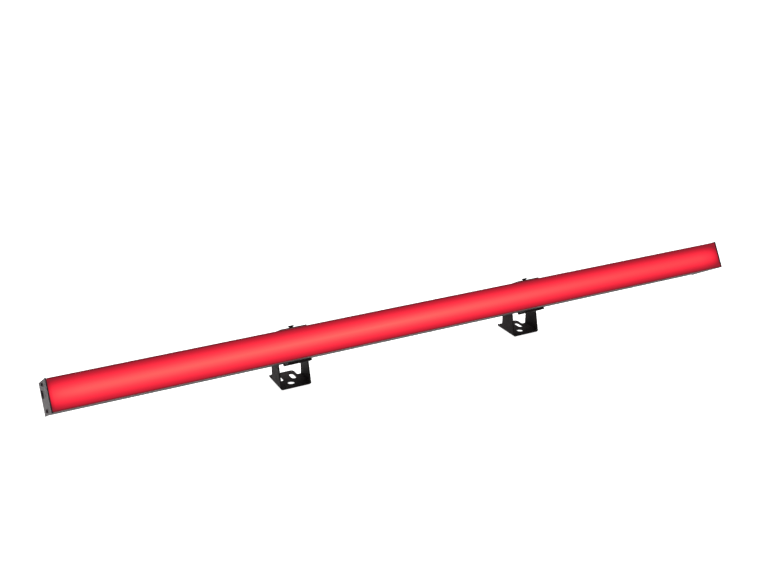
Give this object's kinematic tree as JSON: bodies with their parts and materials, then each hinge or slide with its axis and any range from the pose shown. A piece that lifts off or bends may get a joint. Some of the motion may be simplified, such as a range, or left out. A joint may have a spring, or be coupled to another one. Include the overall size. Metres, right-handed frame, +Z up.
{
  "type": "led strip batten",
  "caption": "Long slim black extrusion with a flat lit opal front, held by tilting U brackets that slide along it on clips, with sockets, display and buttons on its back.",
  "frame": {"origin": "in the plane of the two bracket bases, below the tilt axis and the middle of the batten's length", "axes": "+X along the batten, +Y away from the lit side, +Z up from the bracket bases"},
  "size_m": [1.0032, 0.1059, 0.1063],
  "materials": {
    "anodised_black": "black anodised aluminium, satin",
    "powder_black": "fine textured black powder coat on sheet steel",
    "opal_red": "opal polycarbonate lit red from behind, satin",
    "zinc_black": "black zinc-plated steel, satin",
    "steel": "bare steel, polished by use",
    "nylon": "dark grey nylon, matte",
    "rubber": "black rubber, matte",
    "board_white": "white solder mask and white reflector film, satin",
    "board_green": "green circuit board, satin",
    "bare_aluminium": "mill finish",
    "plastic_black": "black glass-filled plastic, fine grain",
    "plastic_blue": "blue glass-filled plastic, fine grain",
    "plastic_grey": "light grey glass-filled plastic, fine grain",
    "display_glass": "smoked clear acrylic, polished",
    "brass": "turned brass, gold flashed",
    "copper_winding": "varnished copper winding",
    "wire_red": "soft insulation"
  },
  "bodies": {
    "left_bracket": {"left_bracket": "powder_black", "left_pivot_bolt": "zinc_black"},
    "left_knob": {"left_tilt_knob": "plastic_black"},
    "left_clip": {"left_clip": "powder_black", "left_clip_upper_pad": "nylon", "left_clip_lower_pad": "nylon", "left_outer_washer": "nylon", "left_inner_washer": "nylon"},
    "left_clamp": {"left_clamp_screw": "zinc_black"},
    "housing": {"housing": "anodised_black", "opal_cover": "opal_red", "left_end_plate": "anodised_black", "right_end_plate": "anodised_black", "left_end_gasket": "rubber", "right_end_gasket": "rubber", "left_end_screw_upper": "zinc_black", "left_end_screw_lower": "zinc_black", "right_end_screw_upper": "zinc_black", "right_end_screw_lower": "zinc_black", "led_tray": "bare_aluminium", "left_led_board": "board_white", "right_led_board": "board_white", "upper_reflector": "board_white", "lower_reflector": "board_white", "driver_case": "bare_aluminium", "driver_board": "board_green", "driver_transformer": "copper_winding", "control_board": "board_green", "display_module": "plastic_black", "control_panel": "powder_black", "display_window": "display_glass", "power_inlet": "plastic_blue", "power_outlet": "plastic_grey", "data_inlet": "plastic_black", "data_pin_1": "brass", "data_pin_2": "brass", "data_pin_3": "brass", "data_outlet": "plastic_black", "safety_eye": "powder_black", "safety_eye_screw_1": "zinc_black", "safety_eye_screw_2": "zinc_black", "vent_plug": "plastic_black", "power_in_wire": "wire_red", "power_link_wire": "wire_red", "data_wire": "wire_red", "led_feed_wire": "wire_red"},
    "menu_button": {"menu_button": "rubber"},
    "down_button": {"down_button": "rubber"},
    "up_button": {"up_button": "rubber"},
    "enter_button": {"enter_button": "rubber"},
    "data_latch": {"data_latch": "steel"},
    "right_clip": {"right_clip": "powder_black", "right_clip_upper_pad": "nylon", "right_clip_lower_pad": "nylon", "right_outer_washer": "nylon", "right_inner_washer": "nylon"},
    "right_clamp": {"right_clamp_screw": "zinc_black"},
    "right_bracket": {"right_bracket": "powder_black", "right_pivot_bolt": "zinc_black"},
    "right_knob": {"right_tilt_knob": "plastic_black"}
  },
  "joints": [
    {"name": "left_tilt", "type": "hinge", "parent": "left_bracket", "child": "left_clip", "pos_m": [-0.1832, 0, 0.0475], "axis": [-1, 0, 0], "range_deg": [-30, 150]},
    {"name": "left_slide", "type": "slide", "parent": "left_clip", "child": "housing", "axis": [1, 0, 0], "range_m": [-0.083, 0.17]},
    {"name": "right_slide", "type": "slide", "parent": "housing", "child": "right_clip", "axis": [1, 0, 0], "range_m": [-0.083, 0.17]},
    {"name": "right_tilt", "type": "hinge", "parent": "right_clip", "child": "right_bracket", "pos_m": [0.1832, 0, 0.0475], "axis": [-1, 0, 0], "range_deg": [-150, 30]},
    {"name": "left_knob_turn", "type": "hinge", "parent": "left_bracket", "child": "left_knob", "pos_m": [-0.1832, 0, 0.0475], "axis": [-1, 0, 0], "range_deg": [0, 360]},
    {"name": "right_knob_turn", "type": "hinge", "parent": "right_bracket", "child": "right_knob", "pos_m": [0.1832, 0, 0.0475], "axis": [1, 0, 0], "range_deg": [0, 360]},
    {"name": "left_clamp_turn", "type": "hinge", "parent": "left_clip", "child": "left_clamp", "pos_m": [-0.1832, -0.01251, 0.07724], "axis": [0, 0.5, 0.866], "range_deg": [0, 360]},
    {"name": "right_clamp_turn", "type": "hinge", "parent": "right_clip", "child": "right_clamp", "pos_m": [0.1832, -0.01251, 0.07724], "axis": [0, 0.5, 0.866], "range_deg": [0, 360]},
    {"name": "menu_press", "type": "slide", "parent": "housing", "child": "menu_button", "axis": [0, -0.866, 0.5], "range_m": [0, 0.001], "stiffness_N_per_m": 800},
    {"name": "down_press", "type": "slide", "parent": "housing", "child": "down_button", "axis": [0, -0.866, 0.5], "range_m": [0, 0.001], "stiffness_N_per_m": 800},
    {"name": "up_press", "type": "slide", "parent": "housing", "child": "up_button", "axis": [0, -0.866, 0.5], "range_m": [0, 0.001], "stiffness_N_per_m": 800},
    {"name": "enter_press", "type": "slide", "parent": "housing", "child": "enter_button", "axis": [0, -0.866, 0.5], "range_m": [0, 0.001], "stiffness_N_per_m": 800},
    {"name": "latch_press", "type": "slide", "parent": "housing", "child": "data_latch", "axis": [0, -0.866, 0.5], "range_m": [0, 0.0008], "stiffness_N_per_m": 800}
  ],
  "couplings": [
    {"joint": "right_tilt", "follows": "left_tilt", "ratio": -1}
  ]
}
